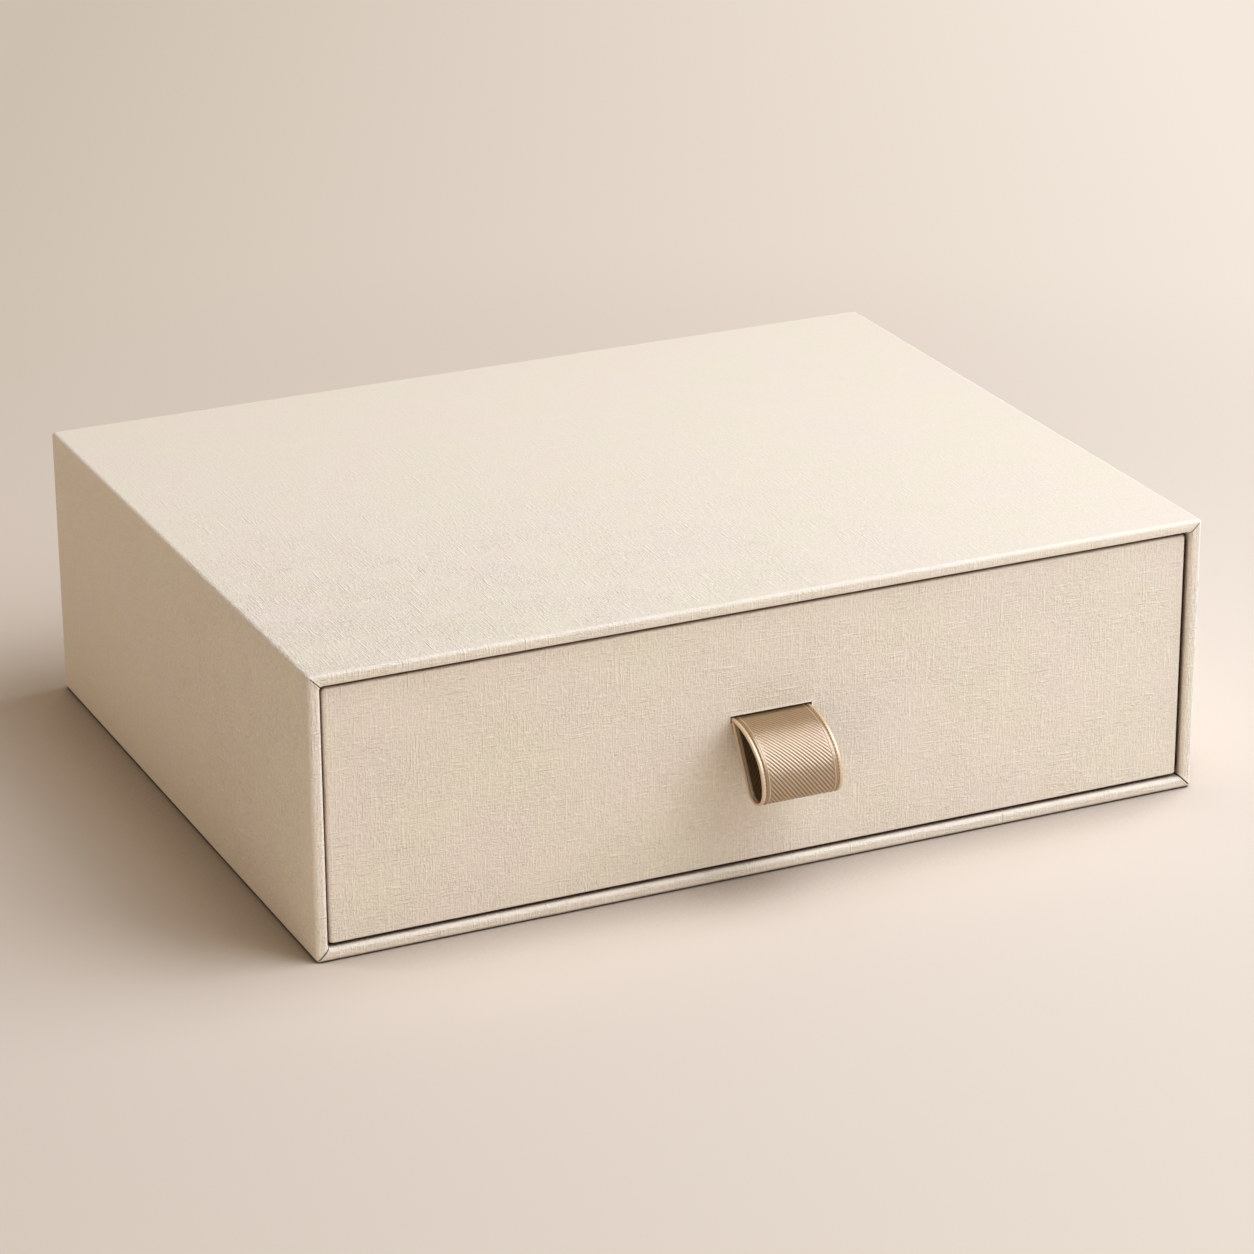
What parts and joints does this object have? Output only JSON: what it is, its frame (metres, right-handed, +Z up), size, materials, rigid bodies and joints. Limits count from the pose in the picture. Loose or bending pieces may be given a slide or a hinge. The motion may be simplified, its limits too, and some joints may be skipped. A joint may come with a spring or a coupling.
{
  "type": "drawer gift box",
  "caption": "Rigid gift box whose lined drawer slides out of a linen-textured paper sleeve by a ribbon loop on its front.",
  "frame": {"origin": "centre of the face that the sleeve stands on", "axes": "+X along the width, to the right seen from the front; -Y out of the open front, the way the drawer slides out; +Z up"},
  "size_m": [0.275, 0.2347, 0.084],
  "materials": {
    "greyboard": "matte",
    "linen_paper": "linen embossed",
    "lining_paper": "matte",
    "stay_tape": "matte",
    "satin_ribbon": "satin"
  },
  "bodies": {
    "sleeve": {"sleeve_bottom_board": "greyboard", "sleeve_right_board": "greyboard", "sleeve_top_board": "greyboard", "sleeve_left_board": "greyboard", "sleeve_back_board": "greyboard", "sleeve_cover": "linen_paper", "sleeve_base_cover": "linen_paper", "sleeve_back_cover": "linen_paper", "sleeve_wall_lining": "lining_paper", "sleeve_back_lining": "lining_paper", "sleeve_edge_tapes": "stay_tape", "sleeve_back_tapes": "stay_tape"},
    "drawer": {"drawer_front_board": "greyboard", "drawer_back_board": "greyboard", "drawer_left_board": "greyboard", "drawer_right_board": "greyboard", "drawer_base_board": "greyboard", "drawer_cover": "linen_paper", "drawer_base_cover": "linen_paper", "drawer_wall_lining": "lining_paper", "drawer_floor_paper": "lining_paper", "drawer_corner_tapes": "stay_tape", "pull_tails": "satin_ribbon", "pull_patch": "lining_paper"},
    "pull": {"pull_loop": "satin_ribbon"}
  },
  "joints": [
    {"name": "drawer_slide", "type": "slide", "parent": "sleeve", "child": "drawer", "axis": [0, -1, 0], "range_m": [0, 0.214]},
    {"name": "pull_swing", "type": "hinge", "parent": "drawer", "child": "pull", "pos_m": [0, -0.10765, 0.04835], "axis": [-1, 0, 0], "range_deg": [0, 50]}
  ]
}
